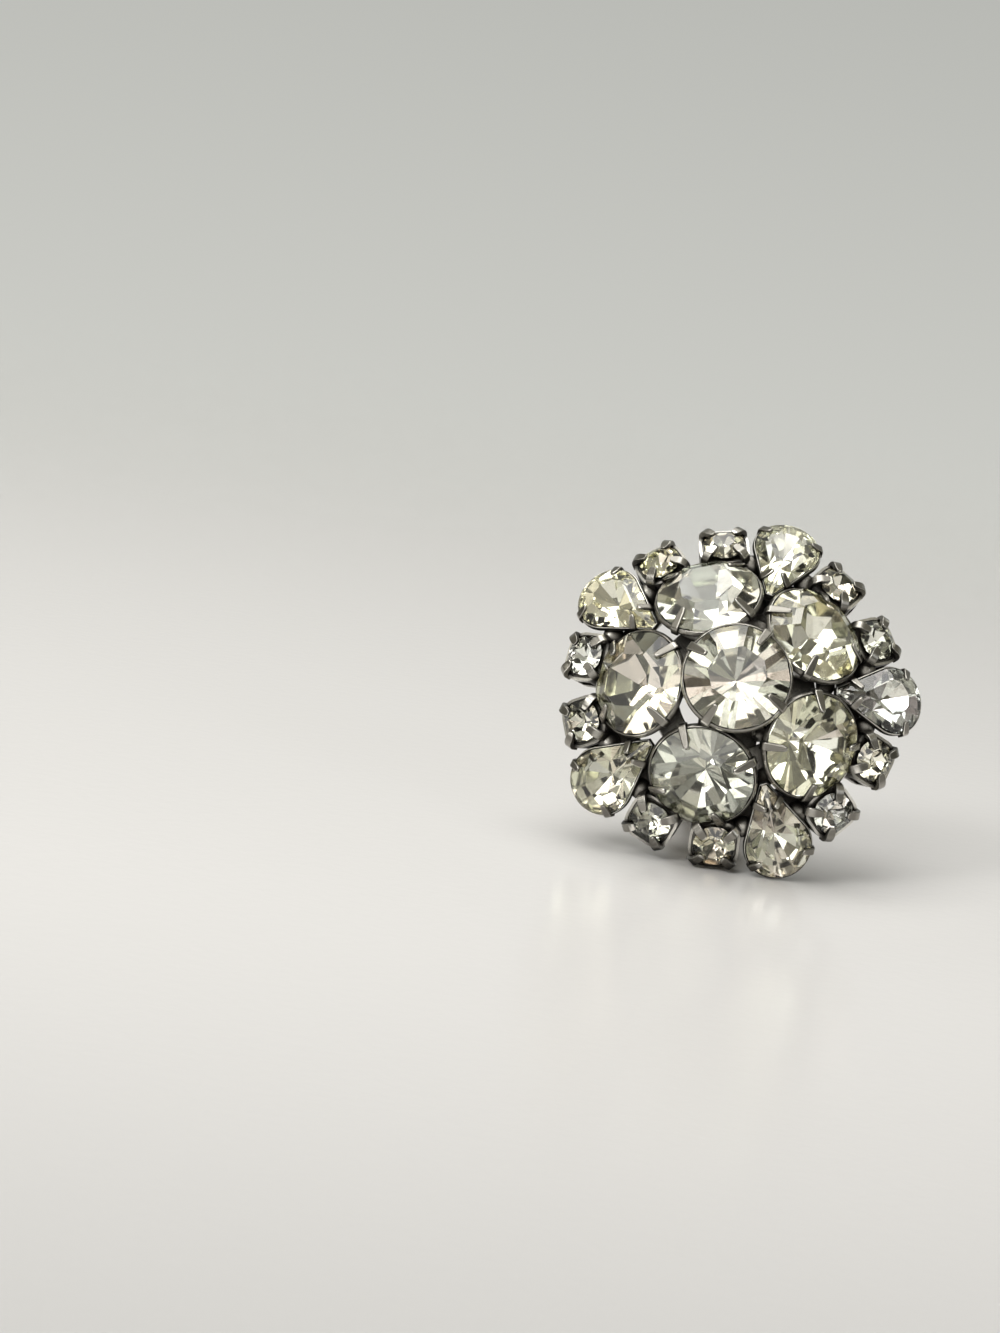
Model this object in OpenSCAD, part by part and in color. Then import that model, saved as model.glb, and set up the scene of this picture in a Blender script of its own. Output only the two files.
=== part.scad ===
// Clip-on earring: a domed cluster of clear faceted glass stones in soldered claw cups, with a hinged clip
// behind.
// It is drawn as it stands on a table with the clip open: on the lowest pear cup, the small cup beside it
// and the end of the lever. All sizes are in millimetres.
// Jewel's own frame: +Z points out of the middle of the dome, +Y is up on the ear, and the girdle of the
// middle stone lies at zero.
// Stone's own frame: +Z is its axis, +X points down the dome, and its girdle is at zero.

/* [Stones] */
// Diameter of the middle stone and of the five ring stones
large_d = 8.4; // [8.2:0.1:8.5]
// Diameter of the ten small stones
small_d = 3.4; // [3.2:0.1:3.5]
// Length of a pear stone from its round end to its tip
pear_length = 8.1; // [7.8:0.1:8.3]
// Width of a pear stone
pear_width = 5.3; // [5.1:0.1:5.4]
// Angle between a pear stone's middle line and each straight side
pear_half_angle = 27; // [25:1:30]

/* [Dome] */
// Distance of the ring stones from the middle of the dome
ring_radius = 7.8; // [7.7:0.1:8.0]
// How far the ring stones lie below the middle stone
ring_drop = 3.9; // [3.7:0.1:4.2]
// Tilt of the ring stones away from the middle
ring_tilt = 37; // [35:1:39]
// Distance of the pear stones from the middle of the dome
pear_radius = 11.8; // [11.7:0.1:12.1]
// How far the pear stones lie below the middle stone
pear_drop = 6.3; // [6.1:0.1:6.5]
// Tilt of the pear stones away from the middle
pear_tilt = 31; // [29:1:33]
// Distance of the small stones from the middle of the dome
small_radius = 12.6; // [12.6:0.1:12.8]
// How far the small stones lie below the middle stone
small_drop = 7.0; // [6.9:0.1:7.1]
// Tilt of the small stones away from the middle
small_tilt = 36; // [34:1:38]
// Angle round the dome between a ring stone and each of its two small stones
small_spread = 12.6; // [12.2:0.1:13]
// Angle of the first ring stone round the dome, from the right of the face
cluster_turn = 115.3; // [114:0.1:117]

/* [Clip] */
// Length of the clip's lever from its hinge to its tip
lever_length = 14.8; // [14.5:0.1:15.5]
// Diameter of the round end of the lever
lever_end_d = 7.4; // [6.6:0.2:8]
// Diameter of the pad that presses on the ear lobe
pad_d = 5.8; // [5:0.2:6.2]
// Diameter of the hinge pin
pin_d = 1.0; // [0.9:0.1:1.1]

/* [Standing] */
// Lean of the face, backwards from upright, as it stands on a table
lean = 22; // [21:0.5:23]
// Height of the middle stone's girdle above the table
middle_height = 16.38; // [16:0.01:17]
// Distance that the middle stone's girdle lies in front of the middle of the earring's footprint
middle_ahead = 10.56; // [10:0.01:11]
// Distance that the middle stone's girdle lies to the left of the middle of the footprint
middle_left = 0.5; // [0:0.01:1]

/* [Hidden] */
ring_count = 5;
small_count = 2 * ring_count;
step_angle = 360 / ring_count;

glass_color = "aliceblue";
metal_color = "silver";
steel_color = "darkgray";

// Cut of a round stone, as shares of its radius. Its facets also flatten the round edge in eight places.
table_share = 0.52;
flat_share = 0.955;
crown_share = 0.3;
girdle_share = 0.05;
pavilion_share = 0.8;

// Cut of a pear stone
pear_table_share = 0.52;
pear_crown = 0.95;
pear_girdle = 0.2;
pear_pavilion = 1.9;
pear_culet_x = 0.5;
pear_culet_share = 0.02;
pear_arc_steps = 12;
pear_blunt = 0.3;
pear_end_r = pear_width / 2;
pear_end_x = pear_length / 2 - pear_end_r;

// Soldered pieces run into each other by this much, and cuts run past what they cut by this much
lap = 0.1;
over_cut = 1;

// Cups are pressed from sheet and hold their stones with a hair's breadth of room
seat_gap = 0.06;
culet_gap = 0.07;
cup_wall = 0.22;
cup_floor = 0.3;
rim_height = 0.12;

large_r = large_d / 2;
large_cup_depth = large_r * (pavilion_share + girdle_share / 2) + culet_gap + cup_floor;
large_cup_shoulder = 0.4;
large_cup_foot_r = 1.8;

small_r = small_d / 2;
small_cup_w = 4.1;
small_cup_corner_r = 2.6;
small_cup_wall = 0.22;
small_cup_well = 0.5;
small_cup_depth = 2.3;
small_seat_top = -0.2;
small_seat_foot_r = 0.35;
small_cup_window_w = 1.3;
small_cup_window_h = 0.9;
small_cup_window_z = -1.7;

// Room inside a ring cup and above its rim that no small cup may enter
ring_room_gap = 0.12;
ring_room_foot_r = 1.7;
ring_room_bottom = -3.4;
ring_room_top = 1.5;

pear_cup_depth = 2.35;
pear_cup_shoulder = 0.4;
pear_foot_inset = 1.1;
pear_cup_wall = 0.15;

// Claws are tabs of the cup's sheet, bent over the edge of the stone
claw_gap = 0.05;
claw_thickness = 0.3;
claw_inset = 0.08;
large_claw_w = 0.85;
large_claw_reach = 1.2;
small_claw_w = 0.7;
small_claw_reach = 0.55;
small_claw_foot = 0.8;
small_claw_inset = 0.2;
pear_claw_w = 0.75;
pear_claw_reach = 0.95;
pear_tip_claw_at = 3.1;
pear_end_claw_angle = 66;
middle_claw_turn = 65;
ring_claw_turn = 38;

// Two flat rings, a star and a strap, soldered behind the cups, carry the cups and the clip
band_in_r = 8.4;
band_out_r = 10.4;
inner_band_in_r = 4.5;
inner_band_out_r = 6.7;
band_top = -7.35;
band_bottom = -8.4;
star_post_r = 1.0;
star_arm_w = 1.4;
star_arm_reach = 4.3;
star_top = -5.0;
star_bottom = -5.9;
strap_w = 5;
strap_length = 20.4;
strap_top = -8.3;
strap_bottom = -9.0;

// The clip's bracket and lever turn on a pin along X
hinge_y = -6.1;
hinge_z = -12.8;
ear_in_x = 2.5;
ear_thickness = 0.6;
ear_end_r = 1.5;
ear_foot_low = -8.6;
ear_foot_high = -3.8;
ear_sink = 0.2;
bracket_top = -8.9;
bracket_bottom = -9.5;
pin_fit = 0.01;
running_gap = 0.03;
pin_head_r = 0.8;
pin_head_h = 0.35;
knuckle_r = 1.2;
knuckle_side_gap = 0.15;
knuckle_half = ear_in_x - knuckle_side_gap;
lever_thickness = 0.8;
lever_neck_w = 4;
lever_start = 0.75;
pad_height = 1.6;
pad_edge = 0.3;

// Angle round the dome of each stone
function ring_angle(i) = cluster_turn + step_angle * (i - 1);
function pear_angle(i) = ring_angle(i) + step_angle / 2;
function small_angle(i) = ring_angle(ceil(i / 2)) + (i % 2 == 1 ? -small_spread : small_spread);

// Point at distance out along a line at angle a, and side to the left of that line
function at_angle(a, out, side) = [out * cos(a) - side * sin(a), out * sin(a) + side * cos(a)];

// Points of a circle at one height
function ring_of(r, z, count, first) = [
    for (k = [0:count - 1]) [r * cos(first + k * 360 / count), r * sin(first + k * 360 / count), z]
];

// Points of a round stone's edge at one height: the two ends of each of its eight flats
function flattened_ring(r, z) = [
    for (k = [0:7], side = [-1, 1])
        let (a = 45 * k + side * acos(flat_share))
        [r * cos(a), r * sin(a), z]
];

// Pear outline, grown outwards by grow and scaled by share: a round end, straight sides and a blunt tip.
// The two straight sides would meet at point_x, and the blunt tip stays short of that.
function pear_outline(grow, share, z) =
    let (
        r = pear_end_r + grow,
        sweep = 90 + pear_half_angle,
        point_x = pear_end_x - r / sin(pear_half_angle),
        tip_x = max(-pear_length / 2 - grow, point_x + pear_blunt),
        tip_half = (tip_x - point_x) * tan(pear_half_angle)
    )
    concat(
        [
            for (k = [0:pear_arc_steps])
                let (a = -sweep + 2 * sweep * k / pear_arc_steps)
                [share * (pear_end_x + r * cos(a)), share * r * sin(a), z]
        ],
        [[share * tip_x, share * tip_half, z], [share * tip_x, -share * tip_half, z]]
    );

// Closed solid through rings of points that run anticlockwise, from the lowest outer ring on
module loft(rings) {
    n = len(rings[0]);
    last = (len(rings) - 1) * n;
    sides = [
        for (i = [0:len(rings) - 2], j = [0:n - 1])
            [i * n + j, (i + 1) * n + j, (i + 1) * n + (j + 1) % n, i * n + (j + 1) % n]
    ];
    polyhedron(
        points = [for (ring = rings) each ring],
        faces = concat(
            [[for (j = [0:n - 1]) j]],
            sides,
            [[for (j = [n - 1:-1:0]) last + j]]
        )
    );
}

// Round stone: a table of eight sides, eight crown facets and eight back facets that meet in a point
module round_stone(r) {
    edge_z = r * girdle_share / 2;
    half_turn = 22.5;
    top = 8;
    low = 24;
    culet = 40;
    polyhedron(
        points = concat(
            ring_of(r * table_share / cos(half_turn), edge_z + r * crown_share, 8, -half_turn),
            flattened_ring(r, edge_z),
            flattened_ring(r, -edge_z),
            [[0, 0, -edge_z - r * pavilion_share]]
        ),
        faces = concat(
            [[for (k = [7:-1:0]) k]],
            [for (k = [0:7]) [k, (k + 1) % 8, top + 2 * k + 1, top + 2 * k]],
            [for (k = [0:7]) [(k + 1) % 8, top + (2 * k + 2) % 16, top + 2 * k + 1]],
            [for (k = [0:15]) [top + k, top + (k + 1) % 16, low + (k + 1) % 16, low + k]],
            [for (k = [0:15]) [low + k, low + (k + 1) % 16, culet]]
        )
    );
}

// Pear stone: table, fifteen crown facets, a girdle and a back that comes to a point
module pear_stone() {
    loft([
        [
            for (p = pear_outline(0, pear_culet_share, 0))
                [p[0] + pear_culet_x, p[1], -pear_girdle / 2 - pear_pavilion]
        ],
        pear_outline(0, 1, -pear_girdle / 2),
        pear_outline(0, 1, pear_girdle / 2),
        pear_outline(0, pear_table_share, pear_girdle / 2 + pear_crown)
    ]);
}

// One claw in the plane of X and Z, for a stone edge at distance r: up the cup's wall, then over the crown
module claw(r, edge_z, slope, reach, width, riser_in, foot) {
    riser_out = riser_in + claw_thickness;
    under = claw_gap / cos(slope);
    over = (claw_gap + claw_thickness) / cos(slope);
    tip_x = r - reach;
    translate([0, width / 2, 0])
        rotate([90, 0, 0])
            linear_extrude(height = width)
                polygon([
                    [riser_in, -foot],
                    [riser_out, -foot],
                    [riser_out, edge_z + (r - riser_out) * tan(slope) + over],
                    [tip_x + claw_thickness / 2, edge_z + (reach - claw_thickness / 2) * tan(slope) + over],
                    [tip_x, edge_z + reach * tan(slope) + under],
                    [riser_in, edge_z + (r - riser_in) * tan(slope) + under]
                ]);
}

// Cup of a large round stone, with its four claws turned by claw_turn
module large_cup(claw_turn) {
    wall_out = large_r + seat_gap + cup_wall;
    wall_in = large_r + seat_gap;
    slope = atan(crown_share / (flat_share - table_share));
    rotate_extrude($fn = 64)
        polygon([
            [0, -large_cup_depth],
            [large_cup_foot_r, -large_cup_depth],
            [wall_out, -large_cup_shoulder],
            [wall_out, rim_height],
            [wall_in, rim_height],
            [wall_in, -large_cup_shoulder + cup_wall],
            [large_cup_foot_r - cup_wall, -large_cup_depth + cup_floor],
            [0, -large_cup_depth + cup_floor]
        ]);
    for (k = [0:3])
        rotate([0, 0, claw_turn + 90 * k])
            claw(large_r * flat_share, large_r * girdle_share / 2, slope, large_claw_reach, large_claw_w,
                wall_in + claw_inset, large_cup_shoulder + lap);
}

// Box cup of a small stone: thin walls with a window in each, a claw on each rounded corner, a conical seat
module small_cup() {
    slope = atan(crown_share / (flat_share - table_share));
    edge_z = small_r * girdle_share / 2;
    seat_z = -edge_z - small_r * pavilion_share - culet_gap;
    well_w = small_cup_w - 2 * small_cup_wall;
    difference() {
        intersection() {
            translate([-small_cup_w / 2, -small_cup_w / 2, -small_cup_depth])
                cube([small_cup_w, small_cup_w, small_cup_depth + rim_height]);
            translate([0, 0, -small_cup_depth - over_cut])
                cylinder(r = small_cup_corner_r, h = small_cup_depth + 2 * over_cut, $fn = 48);
        }
        rotate_extrude($fn = 48)
            polygon([
                [0, seat_z],
                [small_seat_foot_r, seat_z],
                [small_r + seat_gap, small_seat_top],
                [small_r + seat_gap, over_cut],
                [0, over_cut]
            ]);
        for (turn = [0, 90])
            rotate([0, 0, turn])
                translate([-small_cup_w, -small_cup_window_w / 2, small_cup_window_z])
                    cube([2 * small_cup_w, small_cup_window_w, small_cup_window_h]);
        translate([0, 0, -small_cup_well])
            intersection() {
                translate([-well_w / 2, -well_w / 2, 0])
                    cube([well_w, well_w, small_cup_well + over_cut]);
                cylinder(r = small_cup_corner_r - small_cup_wall, h = small_cup_well + over_cut, $fn = 48);
            }
    }
    for (k = [0:3])
        rotate([0, 0, 45 + 90 * k])
            claw(small_r * flat_share, edge_z, slope, small_claw_reach, small_claw_w,
                small_cup_corner_r - small_claw_inset, small_claw_foot);
}

// Pressed cup of a pear stone: two claws beside the tip and two at the round end
module pear_cup() {
    wall_out = seat_gap + pear_cup_wall;
    shrink = 1 - pear_table_share;
    slope_side = atan(pear_crown / (shrink * (pear_end_r - pear_end_x * sin(pear_half_angle))));
    slope_end = atan(pear_crown / (shrink * (pear_end_r + pear_end_x * cos(pear_end_claw_angle))));
    loft([
        pear_outline(-pear_foot_inset, 1, -pear_cup_depth),
        pear_outline(wall_out, 1, -pear_cup_shoulder),
        pear_outline(wall_out, 1, rim_height),
        pear_outline(seat_gap, 1, rim_height),
        pear_outline(seat_gap, 1, -pear_cup_shoulder + cup_wall),
        pear_outline(-pear_foot_inset - cup_wall, 1, -pear_cup_depth + cup_floor)
    ]);
    for (side = [-1, 1]) {
        translate([pear_end_x, 0, 0])
            rotate([0, 0, side * (90 + pear_half_angle)])
                translate([0, side * pear_tip_claw_at, 0])
                    claw(pear_end_r, pear_girdle / 2, slope_side, pear_claw_reach, pear_claw_w,
                        pear_end_r + seat_gap + claw_inset, pear_cup_shoulder + lap);
        translate([pear_end_x, 0, 0])
            rotate([0, 0, side * pear_end_claw_angle])
                claw(pear_end_r, pear_girdle / 2, slope_end, pear_claw_reach, pear_claw_w,
                    pear_end_r + seat_gap + claw_inset, pear_cup_shoulder + lap);
    }
}

// Seats on the dome, each turning its child into the stone's own frame
module ring_seat(i) {
    rotate([0, 0, ring_angle(i)])
        translate([ring_radius, 0, -ring_drop])
            rotate([0, ring_tilt, 0])
                children();
}

module pear_seat(i) {
    rotate([0, 0, pear_angle(i)])
        translate([pear_radius, 0, -pear_drop])
            rotate([0, pear_tilt, 0])
                children();
}

module small_seat(i) {
    rotate([0, 0, small_angle(i)])
        translate([small_radius, 0, -small_drop])
            rotate([0, small_tilt, 0])
                children();
}

// Room that is filed free of the small cups' metal round a ring stone. Its skin lies in the ring cup's wall.
module ring_room() {
    room_r = large_r + ring_room_gap;
    rotate_extrude($fn = 64)
        polygon([
            [0, ring_room_bottom],
            [ring_room_foot_r, ring_room_bottom],
            [room_r, -cup_wall],
            [room_r, ring_room_top],
            [0, ring_room_top]
        ]);
}

// Flat ring with square edges
module flat_ring(in_r, out_r) {
    rotate_extrude($fn = 96)
        polygon([[in_r, band_bottom], [out_r, band_bottom], [out_r, band_top], [in_r, band_top]]);
}

// Rings behind the cups' sides and feet, a star that carries the middle cup, and a strap for the clip
module back_frame() {
    flat_ring(band_in_r, band_out_r);
    flat_ring(inner_band_in_r, inner_band_out_r);
    translate([0, 0, star_top - lap])
        cylinder(r = star_post_r, h = cup_floor / 2 - large_cup_depth - star_top + lap, $fn = 32);
    translate([0, 0, star_bottom])
        linear_extrude(height = star_top - star_bottom)
            polygon([
                for (i = [1:ring_count])
                    each [
                        at_angle(ring_angle(i) - step_angle / 2, star_arm_w / 2 / sin(step_angle / 2), 0),
                        at_angle(ring_angle(i), star_arm_reach, -star_arm_w / 2),
                        at_angle(ring_angle(i), star_arm_reach, star_arm_w / 2)
                    ]
            ]);
    translate([-strap_w / 2, -strap_length / 2, strap_bottom])
        cube([strap_w, strap_length, strap_top - strap_bottom]);
}

// Bracket with two ears, bored for the hinge pin
module clip_bracket() {
    translate([-ear_in_x - ear_thickness, ear_foot_low, bracket_bottom])
        cube([2 * (ear_in_x + ear_thickness), ear_foot_high - ear_foot_low, bracket_top - bracket_bottom]);
    for (x = [-ear_in_x - ear_thickness, ear_in_x])
        difference() {
            union() {
                translate([x, 0, 0])
                    rotate([90, 0, 90])
                        linear_extrude(height = ear_thickness)
                            polygon([
                                [ear_foot_low, bracket_bottom + ear_sink],
                                [hinge_y - ear_end_r + lap, hinge_z],
                                [hinge_y + ear_end_r - lap, hinge_z],
                                [ear_foot_high, bracket_bottom + ear_sink]
                            ]);
                translate([x, hinge_y, hinge_z])
                    rotate([0, 90, 0])
                        cylinder(r = ear_end_r, h = ear_thickness, $fn = 48);
            }
            translate([x - over_cut, hinge_y, hinge_z])
                rotate([0, 90, 0])
                    cylinder(r = pin_d / 2 + pin_fit, h = ear_thickness + 2 * over_cut, $fn = 48);
        }
}

// Jewel's frame to the table: the face leans back from upright and looks along -Y
module standing() {
    translate([-middle_left, -middle_ahead, middle_height])
        rotate([90 - lean, 0, 0])
            children();
}

// All the soldered metal: twenty-one claw cups, the frame behind them and the clip's bracket
module setting() {
    color(metal_color)
        standing() {
            large_cup(middle_claw_turn);
            for (i = [1:ring_count]) {
                ring_seat(i)
                    large_cup(ring_claw_turn);
                pear_seat(i)
                    pear_cup();
            }
            difference() {
                for (i = [1:small_count])
                    small_seat(i)
                        small_cup();
                for (i = [1:ring_count])
                    ring_seat(i)
                        ring_room();
            }
            back_frame();
            clip_bracket();
        }
}

// Riveted hinge pin with a head at each end
module hinge_pin() {
    shaft_half = ear_in_x + ear_thickness + 2 * pin_fit;
    color(steel_color)
        standing()
            translate([0, hinge_y, hinge_z])
                rotate([0, 90, 0]) {
                    translate([0, 0, -shaft_half - lap])
                        cylinder(r = pin_d / 2, h = 2 * (shaft_half + lap), $fn = 48);
                    for (z = [-shaft_half - pin_head_h, shaft_half])
                        translate([0, 0, z])
                            cylinder(r = pin_head_r, h = pin_head_h, $fn = 48);
                }
}

// Clip lever, open, pointing straight back: a knuckle on the pin, a widening blade and a round pad
module clip_lever() {
    end_r = lever_end_d / 2;
    end_at = lever_length - end_r;
    color(metal_color)
        standing()
            translate([0, hinge_y, hinge_z])
                difference() {
                    union() {
                        rotate([0, 90, 0])
                            translate([0, 0, -knuckle_half])
                                cylinder(r = knuckle_r, h = 2 * knuckle_half, $fn = 48);
                        rotate([90, 0, 0])
                            translate([0, 0, -lever_thickness / 2])
                                linear_extrude(height = lever_thickness) {
                                    polygon([
                                        [-lever_neck_w / 2, -lever_start],
                                        [-end_r + lap, -end_at],
                                        [end_r - lap, -end_at],
                                        [lever_neck_w / 2, -lever_start]
                                    ]);
                                    translate([0, -end_at])
                                        circle(r = end_r, $fn = 64);
                                }
                        translate([0, 0, -end_at])
                            rotate([-90, 0, 0])
                                rotate_extrude($fn = 64)
                                    polygon([
                                        [0, lap],
                                        [pad_d / 2, lap],
                                        [pad_d / 2, lever_thickness / 2 + pad_height - pad_edge],
                                        [pad_d / 2 - pad_edge, lever_thickness / 2 + pad_height],
                                        [0, lever_thickness / 2 + pad_height]
                                    ]);
                    }
                    rotate([0, 90, 0])
                        translate([0, 0, -knuckle_half - over_cut])
                            cylinder(r = pin_d / 2 + running_gap, h = 2 * (knuckle_half + over_cut),
                                $fn = 48);
                }
}

module stone_middle() {
    color(glass_color)
        standing()
            rotate([0, 0, middle_claw_turn])
                round_stone(large_r);
}

module stone_ring(i) {
    color(glass_color)
        standing()
            ring_seat(i)
                rotate([0, 0, ring_claw_turn])
                    round_stone(large_r);
}

module stone_pear(i) {
    color(glass_color)
        standing()
            pear_seat(i)
                pear_stone();
}

module stone_small(i) {
    color(glass_color)
        standing()
            small_seat(i)
                round_stone(small_r);
}

setting();
hinge_pin();
clip_lever();
stone_middle();
for (i = [1:ring_count]) {
    stone_ring(i);
    stone_pear(i);
}
for (i = [1:small_count]) {
    stone_small(i);
}
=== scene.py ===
import bpy
import math
import random
from mathutils import Matrix, Vector


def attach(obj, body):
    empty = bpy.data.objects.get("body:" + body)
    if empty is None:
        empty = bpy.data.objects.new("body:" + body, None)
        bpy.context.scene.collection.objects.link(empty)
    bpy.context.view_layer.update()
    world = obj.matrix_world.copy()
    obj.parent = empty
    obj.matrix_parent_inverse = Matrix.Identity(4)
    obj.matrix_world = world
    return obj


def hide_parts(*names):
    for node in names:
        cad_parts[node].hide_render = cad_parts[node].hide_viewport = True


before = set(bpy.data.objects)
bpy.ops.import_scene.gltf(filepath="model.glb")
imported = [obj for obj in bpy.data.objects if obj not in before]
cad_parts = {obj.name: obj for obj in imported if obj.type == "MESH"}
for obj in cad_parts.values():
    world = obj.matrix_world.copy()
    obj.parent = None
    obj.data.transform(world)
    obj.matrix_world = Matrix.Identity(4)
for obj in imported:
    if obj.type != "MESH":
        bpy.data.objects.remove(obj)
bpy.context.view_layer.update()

# The camera
# A long lens looks from in front and a little above. It is turned aside, so that the earring sits right of
# the middle of the frame as in the photograph, and rolled, because the earring stands turned about its axis.
PHOTO_LONG_SIDE = 1333
FOCAL_LENGTH_PX = 3000
CAMERA_PLACE = (-0.0017, -0.2455, 0.0582)
CAMERA_TURN_DEG = (79.27, -8.52, 5.88)
bpy.ops.object.camera_add(location=CAMERA_PLACE, rotation=[math.radians(turn) for turn in CAMERA_TURN_DEG])
camera = bpy.context.object
camera.data.sensor_width = 36
camera.data.lens = camera.data.sensor_width * FOCAL_LENGTH_PX / PHOTO_LONG_SIDE
camera.data.clip_start = 0.01
bpy.context.scene.camera = camera

# The tabletop
# A sheet of white coated board with a faint gloss lies under the earring. It fades into the pale backdrop
# before its edge, so that no horizon shows from any side, and its colour is painted greyer towards the camera
# as painted shade.
FLOOR_RADIUS = 0.6
FADE_START, FADE_END, FADE_GRAIN = 0.06, 0.34, 0.6
# Where the board's painted shade starts and ends along Y, towards the camera.
PAINTED_SHADE_FROM, PAINTED_SHADE_TO = -0.03, -0.17


def linear(hex_colour):
    """Turns an sRGB colour such as "#C8C4BC" into linear red, green, blue and alpha."""
    values = [int(hex_colour[i:i + 2], 16) / 255 for i in (1, 3, 5)]
    return (*[v / 12.92 if v <= 0.04045 else ((v + 0.055) / 1.055) ** 2.4 for v in values], 1.0)


def add_node(tree, kind, settings=None, links=None):
    """Adds a node to a tree: settings are its properties or its sockets' values, links feed its sockets."""
    node = tree.nodes.new(kind)
    for name, value in (settings or {}).items():
        if isinstance(name, int) or name in node.inputs:
            node.inputs[name].default_value = value
        else:
            setattr(node, name, value)
    for name, source in (links or {}).items():
        tree.links.new(source, node.inputs[name])
    return node


def new_material(name):
    """An empty material with its output node."""
    material = bpy.data.materials.new(name)
    material.use_nodes = True
    material.node_tree.nodes.clear()
    output = add_node(material.node_tree, "ShaderNodeOutputMaterial")
    return material, material.node_tree, output


def coated_board():
    """White board with a clear coat: pale, with a soft dim mirror image close to what stands on it, and with
    painted shade that greys it towards the camera. It fades out in a fine grain, which leaves no ring where
    it turns clear."""
    material, tree, output = new_material("coated_board")
    place = add_node(tree, "ShaderNodeTexCoord")
    grain = add_node(tree, "ShaderNodeTexNoise", {"Scale": 900.0, "Detail": 4.0},
                     {"Vector": place.outputs["Object"]})
    bump = add_node(tree, "ShaderNodeBump", {"Strength": 0.06, "Distance": 0.0002},
                    {"Height": grain.outputs["Fac"]})
    sides = add_node(tree, "ShaderNodeSeparateXYZ", None, {0: place.outputs["Object"]})
    # Painted shade: the board's colour goes from #F3F0EB to a greyer #C9C7C3 towards the camera.
    near = add_node(tree, "ShaderNodeMapRange",
                    {"interpolation_type": "SMOOTHSTEP", "From Min": PAINTED_SHADE_FROM, "From Max": PAINTED_SHADE_TO},
                    {"Value": sides.outputs["Y"]})
    colour = add_node(tree, "ShaderNodeMix",
                      {"data_type": "RGBA", 6: linear("#F3F0EB"), 7: linear("#C9C7C3")},
                      {0: near.outputs["Result"]})
    board = add_node(tree, "ShaderNodeBsdfPrincipled", {"Roughness": 0.2, "Specular IOR Level": 0.15},
                     {"Base Color": colour.outputs[2], "Normal": bump.outputs["Normal"]})
    distance = add_node(tree, "ShaderNodeVectorMath", {"operation": "LENGTH"}, {0: place.outputs["Object"]})
    dust = add_node(tree, "ShaderNodeTexWhiteNoise", None, {"Vector": place.outputs["Object"]})
    spread = add_node(tree, "ShaderNodeMath",
                      {"operation": "MULTIPLY_ADD", 1: FADE_GRAIN, 2: 1 - FADE_GRAIN / 2},
                      {0: dust.outputs["Value"]})
    far = add_node(tree, "ShaderNodeMath", {"operation": "MULTIPLY"},
                   {0: distance.outputs["Value"], 1: spread.outputs[0]})
    fade = add_node(tree, "ShaderNodeMapRange",
                    {"interpolation_type": "SMOOTHERSTEP", "From Min": FADE_START, "From Max": FADE_END},
                    {"Value": far.outputs[0]})
    clear = add_node(tree, "ShaderNodeBsdfTransparent")
    mix = add_node(tree, "ShaderNodeMixShader", None,
                   {0: fade.outputs["Result"], 1: board.outputs["BSDF"], 2: clear.outputs["BSDF"]})
    tree.links.new(mix.outputs["Shader"], output.inputs["Surface"])
    return material


bpy.ops.mesh.primitive_circle_add(vertices=96, radius=FLOOR_RADIUS, fill_type="NGON")
floor = bpy.context.object
floor.name = "tabletop"
floor.data.materials.append(coated_board())

# The studio
# A large soft box overhead and smaller ones round the front light the board, and the one front left throws
# the earring's shadow. Two windows and a low white card show only as reflections in the glass and the metal,
# which otherwise mirror a dim room. The backdrop is a pale grey that darkens upwards.
SOFT_BOXES = (
    # name, place, width, height, watts, colour
    ("overhead_box", (-0.05, 0.03, 0.43), 0.40, 0.30, 1.36, "#FFFFFF"),
    ("front_box", (-0.15, -0.34, 0.40), 0.22, 0.24, 0.42, "#FFFFFF"),
    ("key_box", (-0.27, -0.29, 0.31), 0.14, 0.14, 0.60, "#FFFFFF"),
    ("left_box", (-0.46, -0.16, 0.24), 0.20, 0.34, 0.22, "#FFFEFA"),
    ("right_box", (0.44, -0.30, 0.20), 0.14, 0.30, 0.15, "#F4F8FF"),
)
MIRRORED_BOXES = (
    ("left_window", (-0.27, -0.40, 0.24), 0.07, 0.09, 0.22, "#FFFFFF"),
    ("right_window", (0.20, -0.40, 0.44), 0.07, 0.07, 0.18, "#F8FAFF"),
    ("low_card", (-0.14, -0.52, 0.23), 0.72, 0.34, 1.85, "#FFFFFF"),
)
BACKDROP_LOW, BACKDROP_HIGH = "#D6D6D0", "#B8B9B4"
ROOM_DARK, ROOM_PALE = "#56544A", "#C2BFB2"
ROOM_CONTRAST, ROOM_SHIFT = 1.6, -0.75
FILL = "#3C3C3A"


def add_soft_box(name, place, width, height, watts, colour, lights_board=True):
    """A soft box that points at the earring and that the camera doesn't see."""
    bpy.ops.object.light_add(type="AREA", location=place)
    box = bpy.context.object
    box.name = name
    box.data.shape = "RECTANGLE"
    box.data.size, box.data.size_y = width, height
    box.data.energy = watts
    box.data.color = linear(colour)[:3]
    box.rotation_euler = Vector(place).to_track_quat("Z", "Y").to_euler()
    box.visible_camera = False
    box.visible_diffuse = lights_board


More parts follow.
